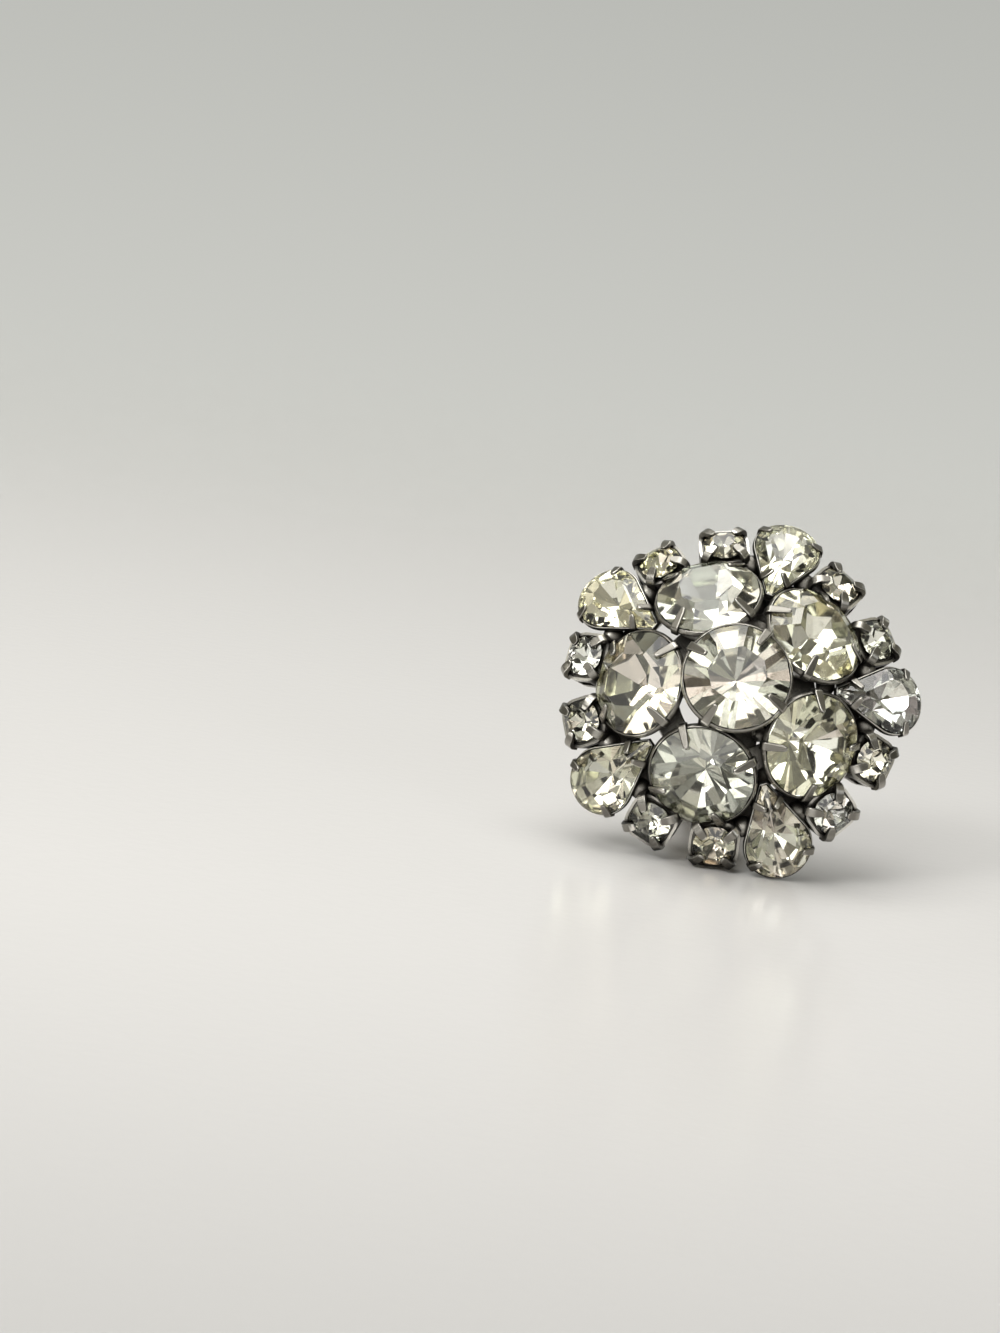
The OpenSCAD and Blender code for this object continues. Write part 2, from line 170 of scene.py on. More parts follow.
def add_room():
    """A world that the camera sees as the backdrop and the stones as a room of dark and pale parts."""
    world = bpy.data.worlds.new("pale_room")
    bpy.context.scene.world = world
    world.use_nodes = True
    tree = world.node_tree
    tree.nodes.clear()
    direction = add_node(tree, "ShaderNodeTexCoord")
    height = add_node(tree, "ShaderNodeSeparateXYZ", None, {0: direction.outputs["Generated"]})
    up = add_node(tree, "ShaderNodeMapRange", {"From Min": -0.2, "From Max": 0.06},
                  {"Value": height.outputs["Z"]})
    backdrop = add_node(tree, "ShaderNodeMix",
                        {"data_type": "RGBA", 6: linear(BACKDROP_LOW), 7: linear(BACKDROP_HIGH)},
                        {0: up.outputs["Result"]})
    things = add_node(tree, "ShaderNodeTexNoise", {"Scale": 2.6, "Detail": 2.0},
                      {"Vector": direction.outputs["Generated"]})
    pale = add_node(tree, "ShaderNodeMath", {"operation": "MULTIPLY_ADD", 1: ROOM_CONTRAST, 2: ROOM_SHIFT},
                    {0: things.outputs["Fac"]})
    high = add_node(tree, "ShaderNodeMapRange",
                    {"From Min": 0.0, "From Max": 0.7, "To Min": 0.1, "To Max": 0.75},
                    {"Value": height.outputs["Z"]})
    shade = add_node(tree, "ShaderNodeMath", {"operation": "ADD", "use_clamp": True},
                     {0: pale.outputs[0], 1: high.outputs["Result"]})
    front = add_node(tree, "ShaderNodeMix", {"data_type": "RGBA", 6: linear(ROOM_DARK), 7: linear(ROOM_PALE)},
                     {0: shade.outputs[0]})
    behind = add_node(tree, "ShaderNodeMapRange",
                      {"interpolation_type": "SMOOTHSTEP", "From Min": 0.2, "From Max": 0.7},
                      {"Value": height.outputs["Y"]})
    room = add_node(tree, "ShaderNodeMix", {"data_type": "RGBA"},
                    {0: behind.outputs["Result"], 6: front.outputs[2], 7: backdrop.outputs[2]})
    path = add_node(tree, "ShaderNodeLightPath")
    unseen = add_node(tree, "ShaderNodeMix", {"data_type": "RGBA", 7: linear(FILL)},
                      {0: path.outputs["Is Diffuse Ray"], 6: room.outputs[2]})
    both = add_node(tree, "ShaderNodeMix", {"data_type": "RGBA"},
                    {0: path.outputs["Is Camera Ray"], 6: unseen.outputs[2], 7: backdrop.outputs[2]})
    light = add_node(tree, "ShaderNodeBackground", {"Strength": 1.0}, {"Color": both.outputs[2]})
    output = add_node(tree, "ShaderNodeOutputWorld")
    tree.links.new(light.outputs["Background"], output.inputs["Surface"])


for box in SOFT_BOXES:
    add_soft_box(*box)
for box in MIRRORED_BOXES:
    add_soft_box(*box, lights_board=False)
add_room()
bpy.context.scene.view_settings.view_transform = "Standard"
bpy.context.scene.cycles.max_bounces = 20
bpy.context.scene.cycles.glossy_bounces = 12

# The round cups
# Six cups pressed from thin brass sheet and rhodium plated hold the large stones, one in the middle and five
# round it. Four tabs of each cup's sheet are bent over the stone as claws.
MM = 0.001
STANDS = Matrix.Translation((-0.5 * MM, -10.56 * MM, 16.38 * MM)) @ Matrix.Rotation(math.radians(68), 4, "X")
RING_COUNT = 5
STEP = math.tau / RING_COUNT
CLUSTER_TURN = math.radians(115.3)
RING_RADIUS, RING_DROP, RING_TILT = 7.8 * MM, 3.9 * MM, math.radians(37)
LARGE_R = 4.2 * MM
CUP_IN_R, CUP_OUT_R = 4.26 * MM, 4.48 * MM
CUP_FOOT_R, CUP_DEPTH, CUP_SHOULDER = 1.8 * MM, 3.83 * MM, 0.4 * MM
CUP_RIM, CUP_WALL, CUP_FLOOR = -0.02 * MM, 0.22 * MM, 0.3 * MM
CUP_LIP, CUP_LIP_FALL, CUP_EDGE = 0.08 * MM, 0.25 * MM, 0.03 * MM
CROWN_SLOPE = math.radians(34.6)
MIDDLE_CLAW_TURN, RING_CLAW_TURN = math.radians(65), math.radians(38)
CLAW_FOOT, CLAW_OFF_WALL = -0.6 * MM, 0.01 * MM
CLAW_STEPS, CLAW_CURL, CLAW_ROUNDING = 5, 0.9, 0.42
LARGE_CLAW_BEND, LARGE_CLAW_REACH = -0.11 * MM, 1.72 * MM
LARGE_CLAW_W, LARGE_CLAW_THICKNESS = 0.74 * MM, 0.3 * MM
CLAW_TAPER = (
    # share of the reach, share of the width that is kept
    (0.4, 0.9),
    (0.35, 0.85),
    (0.17, 0.8),
    (0.08, 0.6),
)


def start_edit():
    """Opens the new primitive for editing with everything deselected."""
    bpy.ops.object.mode_set(mode="EDIT")
    bpy.ops.mesh.select_all(action="DESELECT")


def pick(faces=None, edges=None, verts=None):
    """Selects the faces, edges or vertices of the mesh in edit mode for which the given test holds."""
    mode = "FACE" if faces else "EDGE" if edges else "VERT"
    bpy.ops.mesh.select_mode(type=mode)
    bpy.ops.mesh.select_all(action="DESELECT")
    bpy.ops.object.mode_set(mode="OBJECT")
    mesh = bpy.context.object.data
    if faces:
        for face in mesh.polygons:
            face.select = faces(face.center, face.normal)
    if edges:
        for edge in mesh.edges:
            edge.select = edges(*[mesh.vertices[v].co for v in edge.vertices])
    if verts:
        for vertex in mesh.vertices:
            vertex.select = verts(vertex.co)
    bpy.ops.object.mode_set(mode="EDIT")


def grow_cap(rise, share, centre):
    """Extrudes the selected cap upwards by rise and scales it about centre."""
    bpy.ops.mesh.extrude_region_move(TRANSFORM_OT_translate={"value": (0, 0, rise)})
    bpy.ops.transform.resize(value=(share, share, 1), center_override=centre)


def finish_piece(name, smooth_deg=40):
    """Leaves edit mode, names the piece and shades its rounded faces smooth."""
    bpy.ops.object.mode_set(mode="OBJECT")
    piece = bpy.context.object
    piece.name = piece.data.name = name
    bpy.ops.object.transform_apply(location=True, rotation=True, scale=True)
    bpy.ops.object.shade_smooth_by_angle(angle=math.radians(smooth_deg))
    return piece


def add_bevel(piece, width, segments, limit_deg=30):
    """Rounds the piece's sharp edges, as pressed and tumbled metal has them."""
    bevel = piece.modifiers.new("rounded_edges", "BEVEL")
    bevel.width, bevel.segments = width, segments
    bevel.limit_method, bevel.angle_limit = "ANGLE", math.radians(limit_deg)
    bevel.use_clamp_overlap = True
    bpy.context.view_layer.objects.active = piece
    bpy.ops.object.modifier_apply(modifier=bevel.name)


def round_cup():
    """A cone on a small flat foot, with a short upright wall and a hollow seat, grown up from the foot."""
    bpy.ops.mesh.primitive_circle_add(vertices=72, radius=CUP_FOOT_R, fill_type="NGON",
                                      location=(0, 0, -CUP_DEPTH))
    bpy.ops.object.transform_apply(location=True)
    start_edit()
    bpy.ops.mesh.select_all(action="SELECT")
    axis = (0, 0, 0)
    grow_cap(CUP_DEPTH - CUP_SHOULDER, CUP_OUT_R / CUP_FOOT_R, axis)
    grow_cap(CUP_SHOULDER + CUP_RIM - CUP_LIP_FALL, 1, axis)
    grow_cap(CUP_LIP_FALL, (CUP_IN_R + CUP_LIP) / CUP_OUT_R, axis)
    grow_cap(0, CUP_IN_R / (CUP_IN_R + CUP_LIP), axis)
    grow_cap(-CUP_SHOULDER - CUP_RIM + CUP_WALL, 1, axis)
    grow_cap(CUP_SHOULDER - CUP_WALL - CUP_DEPTH + CUP_FLOOR, (CUP_FOOT_R - CUP_WALL) / CUP_IN_R, axis)
    bpy.ops.mesh.select_all(action="SELECT")
    bpy.ops.mesh.normals_make_consistent(inside=False)
    cup = finish_piece("round_cup", 30)
    add_bevel(cup, CUP_EDGE, 2)
    return cup


def bent_claw(foot_at, foot_z, bend_z, slope, reach, width, thickness, curl=CLAW_CURL):
    """A tab that stands on the cup's wall at foot_at, bends over the stone's crown and narrows to a tip."""
    bend = math.pi / 2 - slope
    bpy.ops.mesh.primitive_cube_add(size=1, location=(foot_at, 0, (foot_z + bend_z) / 2))
    bpy.ops.transform.resize(value=(thickness, width, bend_z - foot_z))
    bpy.ops.object.transform_apply(location=True, scale=True)
    start_edit()
    pick(faces=lambda centre, normal: normal.z > 0.9)
    place, heading = Vector((foot_at, 0, bend_z)), 0.0
    arc = bend * curl * thickness
    moves = [(bend / CLAW_STEPS, arc / CLAW_STEPS, 1.0)] * CLAW_STEPS
    moves += [(0.0, reach * share, narrower) for share, narrower in CLAW_TAPER]
    for turn, step, narrower in moves:
        heading += turn
        move = Vector((-math.sin(heading), 0, math.cos(heading))) * step
        bpy.ops.mesh.extrude_region_move(TRANSFORM_OT_translate={"value": move})
        place += move
        bpy.ops.transform.rotate(value=turn, orient_axis="Y", center_override=place)
        bpy.ops.transform.resize(value=(1, narrower, 1), center_override=place)
    bpy.ops.mesh.select_all(action="SELECT")
    bpy.ops.mesh.normals_make_consistent(inside=False)
    claw = finish_piece("claw", 60)
    add_bevel(claw, thickness * CLAW_ROUNDING, 4)
    return claw


def copy_to(model, place, name):
    """A copy of the model with a mesh of its own, moved to its place in the earring."""
    mesh = model.data.copy()
    mesh.transform(place)
    piece = bpy.data.objects.new(name, mesh)
    bpy.context.scene.collection.objects.link(piece)
    mesh.name = name
    return piece


def join_pieces(pieces, name):
    """Joins soldered pieces into one."""
    bpy.ops.object.select_all(action="DESELECT")
    for piece in pieces:
        piece.select_set(True)
    bpy.context.view_layer.objects.active = pieces[0]
    bpy.ops.object.join()
    pieces[0].name = pieces[0].data.name = name
    return pieces[0]


SOIL_PATCHES, SOIL_SHIFT = 0.55, -0.27


def rhodium_plate():
    """Old rhodium plate: dull warm grey; edges rubbed bright, which also paints a highlight; hollows
    tarnished brown-black, which also paints their shade.
    """
    material, tree, output = new_material("rhodium_plate")
    place = add_node(tree, "ShaderNodeTexCoord")
    # Painted shade: ambient occlusion darkens the plate in corners, hollows and under the stones, as tarnish
    # and as the shade that falls there.
    depth = add_node(tree, "ShaderNodeAmbientOcclusion", {"samples": 6, "Distance": 2.0 * MM})
    patches = add_node(tree, "ShaderNodeTexNoise", {"Scale": 700.0, "Detail": 5.0, "Roughness": 0.65},
                       {"Vector": place.outputs["Object"]})
    soil = add_node(tree, "ShaderNodeMath", {"operation": "MULTIPLY_ADD", 1: SOIL_PATCHES, 2: SOIL_SHIFT},
                    {0: patches.outputs["Fac"]})
    reach = add_node(tree, "ShaderNodeMath", {"operation": "ADD"},
                     {0: depth.outputs["AO"], 1: soil.outputs[0]})
    # Tarnish and painted shade: where occlusion and the soil patches reach, the plate turns brown-black.
    clean_of_tarnish_and_painted_shade = add_node(tree, "ShaderNodeMapRange",
                     {"interpolation_type": "SMOOTHSTEP", "From Min": 0.32, "From Max": 0.95},
                     {"Value": reach.outputs[0]})
    shape = add_node(tree, "ShaderNodeNewGeometry")
    # Painted highlight: edges that Pointiness finds sharp get a bright colour, as rubbed wear and as a
    # highlight along them.
    rubbed_and_painted_highlight = add_node(tree, "ShaderNodeMapRange", {"From Min": 0.525, "From Max": 0.6},
                      {"Value": shape.outputs["Pointiness"]})
    skin = add_node(tree, "ShaderNodeMix", {"data_type": "RGBA", 6: linear("#7E7B74"), 7: linear("#E8E5DD")},
                    {0: rubbed_and_painted_highlight.outputs["Result"]})
    # The brown-black of tarnish, which is also the painted shade in corners and hollows.
    colour = add_node(tree, "ShaderNodeMix", {"data_type": "RGBA", 6: linear("#25221D")},
                      {0: clean_of_tarnish_and_painted_shade.outputs["Result"], 7: skin.outputs[2]})
    dull = add_node(tree, "ShaderNodeMapRange", {"To Min": 0.5, "To Max": 0.24},
                    {"Value": clean_of_tarnish_and_painted_shade.outputs["Result"]})
    scuffs = add_node(tree, "ShaderNodeTexNoise", {"Scale": 4000.0, "Detail": 3.0},
                      {"Vector": place.outputs["Object"]})
    bump = add_node(tree, "ShaderNodeBump", {"Strength": 0.25, "Distance": 0.02 * MM},
                    {"Height": scuffs.outputs["Fac"]})
    plate = add_node(tree, "ShaderNodeBsdfPrincipled", {"Metallic": 1.0},
                     {"Base Color": colour.outputs[2], "Roughness": dull.outputs["Result"],
                      "Normal": bump.outputs["Normal"]})
    tree.links.new(plate.outputs["BSDF"], output.inputs["Surface"])
    return material


def in_metal(piece):
    """Plates a piece of the setting and fixes it to the earring in place of the plain solid."""
    piece.data.materials.clear()
    piece.data.materials.append(plate)
    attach(piece, "earring")
    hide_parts("setting")


def ring_angle(i):
    """Angle of the ring stone number i round the dome."""
    return CLUSTER_TURN + STEP * i


def seat(angle, radius, drop, tilt):
    """Place of a stone on the dome, tilted outwards."""
    return (STANDS @ Matrix.Rotation(angle, 4, "Z") @ Matrix.Translation((radius, 0, -drop))
            @ Matrix.Rotation(tilt, 4, "Y"))


plate = rhodium_plate()
large_cup = round_cup()
large_claw = bent_claw(CUP_OUT_R + CLAW_OFF_WALL, CLAW_FOOT, LARGE_CLAW_BEND, CROWN_SLOPE,
                       LARGE_CLAW_REACH, LARGE_CLAW_W, LARGE_CLAW_THICKNESS)
large_places = {"middle": (STANDS, MIDDLE_CLAW_TURN)}
for i in range(RING_COUNT):
    large_places[f"ring_{i + 1}"] = (seat(ring_angle(i), RING_RADIUS, RING_DROP, RING_TILT), RING_CLAW_TURN)
for name, (place, claw_turn) in large_places.items():
    parts = [copy_to(large_cup, place, f"{name}_cup")]
    for k in range(4):
        turn = Matrix.Rotation(claw_turn + k * math.pi / 2, 4, "Z")
        parts.append(copy_to(large_claw, place @ turn, f"{name}_claw_{k}"))
    in_metal(join_pieces(parts, f"{name}_cup"))
for model in (large_cup, large_claw):
    bpy.data.objects.remove(model)

# The pear cups
# Five pressed cups follow the pear stones' outline, a round end, two straight sides and a blunt tip that
# points to the middle. Two claws hold each stone beside its tip and two at its round end.
PEAR_LENGTH, PEAR_END_R, PEAR_HALF_ANGLE = 8.1 * MM, 2.65 * MM, math.radians(27)
PEAR_END_X = PEAR_LENGTH / 2 - PEAR_END_R
PEAR_RADIUS, PEAR_DROP, PEAR_TILT = 11.8 * MM, 6.3 * MM, math.radians(31)
PEAR_CUP_GROW, PEAR_CUP_WALL, PEAR_CUP_DEPTH = 0.21 * MM, 0.15 * MM, 2.35 * MM
PEAR_FOOT_SHARE, PEAR_FOOT_X = 0.545, 1.35 * MM
PEAR_CROWN, PEAR_GIRDLE = 0.95 * MM, 0.2 * MM
PEAR_TABLE_SHARE = 0.52
PEAR_CUP_EDGE, PEAR_LIP_SHARE, PEAR_SEAT_SHARE = 0.04 * MM, (0.985, 0.975, 1), 0.9
PEAR_TIP_CLAW_AT, PEAR_END_CLAW_ANGLE = 3.1 * MM, math.radians(66)
PEAR_CLAW_BEND, PEAR_CLAW_THICKNESS = -0.02 * MM, 0.28 * MM
SIDE_CLAW_REACH, SIDE_CLAW_W = 1.1 * MM, 0.6 * MM
END_CLAW_REACH, END_CLAW_W = 1.0 * MM, 0.62 * MM
CLOSE_BY = 0.15 * MM


def pear_plate(grow, height):
    """A flat pear, grown outwards by grow: a circle opened at the back and drawn out to a blunt tip."""
    radius = PEAR_END_R + grow
    sweep = math.pi / 2 + PEAR_HALF_ANGLE
    tip = Vector((-PEAR_LENGTH / 2 - grow, 0, height))
    tip_half = (tip.x - PEAR_END_X + radius / math.sin(PEAR_HALF_ANGLE)) * math.tan(PEAR_HALF_ANGLE)
    bpy.ops.mesh.primitive_circle_add(vertices=80, radius=radius, location=(PEAR_END_X, 0, height))
    bpy.ops.object.transform_apply(location=True)
    start_edit()
    pick(verts=lambda co: abs(math.atan2(co.y, co.x - PEAR_END_X)) > sweep + 0.001)
    bpy.ops.mesh.delete(type="VERT")
    for side in (-1, 1):
        end = Vector((PEAR_END_X + radius * math.cos(sweep), side * radius * math.sin(sweep), height))
        pick(verts=lambda co: co.x < PEAR_END_X and (co - end).length < CLOSE_BY)
        bpy.ops.mesh.extrude_region_move(
            TRANSFORM_OT_translate={"value": tip + Vector((0, side * tip_half, 0)) - end})
    pick(verts=lambda co: True)
    bpy.ops.mesh.edge_face_add()
    bpy.ops.mesh.select_all(action="SELECT")


def pear_cup_body():
    """The pear cup, grown upwards from its small foot."""
    pear_plate(PEAR_CUP_GROW, -PEAR_CUP_DEPTH)
    middle = (PEAR_FOOT_X, 0, 0)
    share = PEAR_FOOT_SHARE
    bpy.ops.transform.resize(value=(share, share, 1), center_override=middle)
    grow_cap(PEAR_CUP_DEPTH - CUP_SHOULDER, 1 / share, middle)
    grow_cap(CUP_SHOULDER + CUP_RIM - CUP_LIP_FALL, 1, middle)
    grow_cap(CUP_LIP_FALL, 1, middle)
    bpy.ops.transform.resize(value=PEAR_LIP_SHARE, center_override=middle)
    bpy.ops.mesh.inset(thickness=PEAR_CUP_WALL / 2)
    grow_cap(-CUP_SHOULDER - CUP_RIM + CUP_WALL, 1, middle)
    grow_cap(CUP_SHOULDER - CUP_WALL - PEAR_CUP_DEPTH + CUP_FLOOR, share * PEAR_SEAT_SHARE, middle)
    bpy.ops.mesh.select_all(action="SELECT")
    bpy.ops.mesh.normals_make_consistent(inside=False)
    cup = finish_piece("pear_cup", 30)
    add_bevel(cup, PEAR_CUP_EDGE, 2)
    return cup


def pear_angle(i):
    """Angle of the pear stone number i round the dome, halfway between two ring stones."""
    return ring_angle(i) + STEP / 2


pear_cup = pear_cup_body()
pear_run = 1 - PEAR_TABLE_SHARE
side_slope = math.atan(PEAR_CROWN / (pear_run * (PEAR_END_R - PEAR_END_X * math.sin(PEAR_HALF_ANGLE))))
end_slope = math.atan(PEAR_CROWN / (pear_run * (PEAR_END_R + PEAR_END_X * math.cos(PEAR_END_CLAW_ANGLE))))
pear_foot_at = PEAR_END_R + PEAR_CUP_GROW + CLAW_OFF_WALL
side_claw = bent_claw(pear_foot_at, CLAW_FOOT, PEAR_CLAW_BEND, side_slope,
                      SIDE_CLAW_REACH, SIDE_CLAW_W, PEAR_CLAW_THICKNESS)
end_claw = bent_claw(pear_foot_at, CLAW_FOOT, PEAR_CLAW_BEND, end_slope,
                     END_CLAW_REACH, END_CLAW_W, PEAR_CLAW_THICKNESS)
end_centre = Matrix.Translation((PEAR_END_X, 0, 0))
for i in range(RING_COUNT):
    place = seat(pear_angle(i), PEAR_RADIUS, PEAR_DROP, PEAR_TILT)
    parts = [copy_to(pear_cup, place, f"pear_{i + 1}_cup")]
    for side in (-1, 1):
        along = (Matrix.Rotation(side * (math.pi / 2 + PEAR_HALF_ANGLE), 4, "Z")
                 @ Matrix.Translation((0, side * PEAR_TIP_CLAW_AT, 0)))
        parts.append(copy_to(side_claw, place @ end_centre @ along, f"pear_{i + 1}_tip_claw"))
        turn = Matrix.Rotation(side * PEAR_END_CLAW_ANGLE, 4, "Z")
        parts.append(copy_to(end_claw, place @ end_centre @ turn, f"pear_{i + 1}_end_claw"))
    in_metal(join_pieces(parts, f"pear_{i + 1}_cup"))
for model in (pear_cup, side_claw, end_claw):
    bpy.data.objects.remove(model)

# The small cups
# Ten little box cups stand in pairs behind the ring stones. Their corners are rounded, a square window is cut
# through each side, and the stone stands a little proud of the rim, under a short curled claw on each corner.
SMALL_R = 1.7 * MM
SMALL_RADIUS, SMALL_DROP, SMALL_TILT = 12.6 * MM, 7.0 * MM, math.radians(36)
SMALL_SPREAD = math.radians(12.6)
SMALL_CUP_W, SMALL_CUP_DEPTH, SMALL_CORNER = 4.1 * MM, 2.3 * MM, 1.4 * MM
SMALL_SEAT_DEPTH, SMALL_RIM = 1.45 * MM, -0.28 * MM
SMALL_WALL, SMALL_WELL = 0.22 * MM, 0.1 * MM
SMALL_SEAT_FOOT_R, SMALL_SEAT_GAP, SMALL_SEAT_ABOVE = 0.35 * MM, 0.06 * MM, 0.3 * MM
SMALL_CUP_EDGE = 0.06 * MM
WINDOW_W, WINDOW_H, WINDOW_Z = 1.3 * MM, 0.9 * MM, -1.25 * MM
SMALL_CLAW_AT, SMALL_CLAW_FOOT, SMALL_CLAW_BEND = 2.3 * MM, -0.8 * MM, -0.2 * MM
SMALL_CLAW_SLOPE, SMALL_CLAW_REACH, SMALL_CLAW_CURL = math.radians(8), 0.6 * MM, 1.5
SMALL_CLAW_W, SMALL_CLAW_THICKNESS = 0.7 * MM, 0.42 * MM


def box_cup():
    """A thin-walled box with rounded corners, a conical seat, and windows right through it both ways."""
    height = SMALL_CUP_DEPTH + SMALL_RIM
    bpy.ops.mesh.primitive_cube_add(size=1, location=(0, 0, SMALL_RIM - height / 2))
    bpy.ops.transform.resize(value=(SMALL_CUP_W, SMALL_CUP_W, height))
    bpy.ops.object.transform_apply(location=True, scale=True)
    start_edit()
    pick(edges=lambda a, b: abs(a.z - b.z) > height / 2)
    bpy.ops.mesh.bevel(offset=SMALL_CORNER, segments=6)
    bpy.ops.object.mode_set(mode="OBJECT")
    cup = bpy.context.object
    bpy.ops.mesh.primitive_cone_add(vertices=48, radius1=SMALL_SEAT_FOOT_R, radius2=SMALL_R + SMALL_SEAT_GAP,
                                    depth=SMALL_SEAT_DEPTH, location=(0, 0, CUP_RIM - SMALL_SEAT_DEPTH / 2))
    start_edit()
    pick(faces=lambda centre, normal: normal.z > 0.9)
    bpy.ops.mesh.extrude_region_move(TRANSFORM_OT_translate={"value": (0, 0, SMALL_SEAT_ABOVE)})
    bpy.ops.object.mode_set(mode="OBJECT")
    cutters = [bpy.context.object]
    bpy.ops.mesh.primitive_cube_add(size=1, location=(0, 0, SMALL_RIM))
    bpy.ops.transform.resize(value=(*[SMALL_CUP_W - 2 * SMALL_WALL] * 2, 2 * SMALL_WELL))
    bpy.ops.object.transform_apply(location=True, scale=True)
    start_edit()
    pick(edges=lambda a, b: abs(a.z - b.z) > SMALL_WELL)
    bpy.ops.mesh.bevel(offset=SMALL_CORNER - SMALL_WALL / 2, segments=6)
    bpy.ops.object.mode_set(mode="OBJECT")
    cutters.append(bpy.context.object)
    for size in ((2 * SMALL_CUP_W, WINDOW_W, WINDOW_H), (WINDOW_W, 2 * SMALL_CUP_W, WINDOW_H)):
        bpy.ops.mesh.primitive_cube_add(size=1, location=(0, 0, WINDOW_Z))
        bpy.ops.transform.resize(value=size)
        cutters.append(bpy.context.object)
    for cutter in cutters:
        cut = cup.modifiers.new("cut", "BOOLEAN")
        cut.operation, cut.solver, cut.object = "DIFFERENCE", "EXACT", cutter
        bpy.ops.object.select_all(action="DESELECT")
        bpy.context.view_layer.objects.active = cup
        bpy.ops.object.modifier_apply(modifier=cut.name)
        bpy.data.objects.remove(cutter)
    bpy.ops.object.select_all(action="DESELECT")
    cup.select_set(True)
    bpy.context.view_layer.objects.active = cup
    start_edit()
    cup = finish_piece("box_cup", 30)
    add_bevel(cup, SMALL_CUP_EDGE, 2)
    return cup


def small_angle(i):
    """Angle of the small stone number i round the dome: two to each ring stone, one on either side of it."""
    return ring_angle(i // 2) + (SMALL_SPREAD if i % 2 else -SMALL_SPREAD)


small_cup = box_cup()
small_claw = bent_claw(SMALL_CLAW_AT, SMALL_CLAW_FOOT, SMALL_CLAW_BEND, SMALL_CLAW_SLOPE,
                       SMALL_CLAW_REACH, SMALL_CLAW_W, SMALL_CLAW_THICKNESS, SMALL_CLAW_CURL)
for i in range(2 * RING_COUNT):
    place = seat(small_angle(i), SMALL_RADIUS, SMALL_DROP, SMALL_TILT)
    parts = [copy_to(small_cup, place, f"small_{i + 1}_cup")]
    for k in range(4):
        turn = Matrix.Rotation(math.pi / 4 + k * math.pi / 2, 4, "Z")
        parts.append(copy_to(small_claw, place @ turn, f"small_{i + 1}_claw_{k}"))
    in_metal(join_pieces(parts, f"small_{i + 1}_cup"))
for model in (small_cup, small_claw):
    bpy.data.objects.remove(model)

# The frame
# Two flat rings lie behind the ring cups, a five-armed star carries the middle cup, and a strap runs down the
# back. All are cut from brass strip, and one pass of solder joins them to the cups.
BAND_R, INNER_BAND_R = (8.4 * MM, 10.4 * MM), (4.5 * MM, 6.7 * MM)
BAND_TOP, BAND_BOTTOM = -7.35 * MM, -8.4 * MM
STAR_ARM_W, STAR_REACH, STAR_TOP, STAR_BOTTOM = 1.4 * MM, 4.3 * MM, -5.0 * MM, -5.9 * MM
POST_R, POST_EDGE = 1.0 * MM, 0.2 * MM
STRAP_W, STRAP_LENGTH, STRAP_TOP, STRAP_BOTTOM = 5.0 * MM, 20.4 * MM, -8.3 * MM, -9.0 * MM
STRAP_CORNER, STRIP_EDGE, STAR_EDGE = 0.4 * MM, 0.12 * MM, 0.1 * MM


def flat_ring(in_r, out_r):
    """A ring: a disc whose two faces are inset and bridged to open its middle."""
    bpy.ops.mesh.primitive_cylinder_add(vertices=128, radius=out_r, depth=BAND_TOP - BAND_BOTTOM,
                                        location=(0, 0, (BAND_TOP + BAND_BOTTOM) / 2))
    bpy.ops.object.transform_apply(location=True)
    start_edit()
    pick(faces=lambda centre, normal: abs(normal.z) > 0.9)
    bpy.ops.mesh.inset(thickness=out_r - in_r)
    bpy.ops.mesh.bridge_edge_loops()
    ring = finish_piece("flat_ring", 30)
    add_bevel(ring, STRIP_EDGE, 3)
    return ring


def star():
    """A five-sided block, each side drawn out to an arm, with a round post up to the middle cup's foot."""
    crotch_r = STAR_ARM_W / 2 / math.sin(STEP / 2)
    apothem = crotch_r * math.cos(STEP / 2)
    bpy.ops.mesh.primitive_cylinder_add(vertices=RING_COUNT, radius=crotch_r, depth=STAR_TOP - STAR_BOTTOM,
                                        location=(0, 0, (STAR_TOP + STAR_BOTTOM) / 2))
    bpy.ops.object.transform_apply(location=True)
    block = bpy.context.object
    first_side = math.atan2(*reversed(block.data.polygons[0].normal[:2]))
    sides = [f.normal.copy() for f in block.data.polygons if abs(f.normal.z) < 0.1]
    start_edit()
    for side in sides:
        pick(faces=lambda centre, normal: normal.dot(side) > 0.99)
        bpy.ops.mesh.extrude_region_move(TRANSFORM_OT_translate={"value": side * (STAR_REACH - apothem)})
    arms = finish_piece("star", 30)
    arms.data.transform(Matrix.Rotation(CLUSTER_TURN - first_side, 4, "Z"))
    add_bevel(arms, STAR_EDGE, 2)
    post_top = -CUP_DEPTH + CUP_FLOOR / 2
    bpy.ops.mesh.primitive_cylinder_add(vertices=40, radius=POST_R, depth=post_top - STAR_BOTTOM,
                                        location=(0, 0, (post_top + STAR_BOTTOM) / 2))
    post = bpy.context.object
    start_edit()
    pick(faces=lambda centre, normal: normal.z > 0.9)
    bpy.ops.mesh.inset(thickness=POST_EDGE)
    finish_piece("post", 30)
    return join_pieces([arms, post], "star")


def strap():
    """A straight flat strip with rounded ends."""
    bpy.ops.mesh.primitive_cube_add(size=1, location=(0, 0, (STRAP_TOP + STRAP_BOTTOM) / 2))
    bpy.ops.transform.resize(value=(STRAP_W, STRAP_LENGTH, STRAP_TOP - STRAP_BOTTOM))
    bpy.ops.object.transform_apply(location=True, scale=True)
    start_edit()
    pick(edges=lambda a, b: abs(a.z - b.z) > (STRAP_TOP - STRAP_BOTTOM) / 2)
    bpy.ops.mesh.bevel(offset=STRAP_CORNER, segments=4)
    strip = finish_piece("strap", 30)
    add_bevel(strip, STRIP_EDGE, 3)
    return strip


back_frame = join_pieces([flat_ring(*BAND_R), flat_ring(*INNER_BAND_R), star(), strap()], "back_frame")
back_frame.data.transform(STANDS)
in_metal(back_frame)

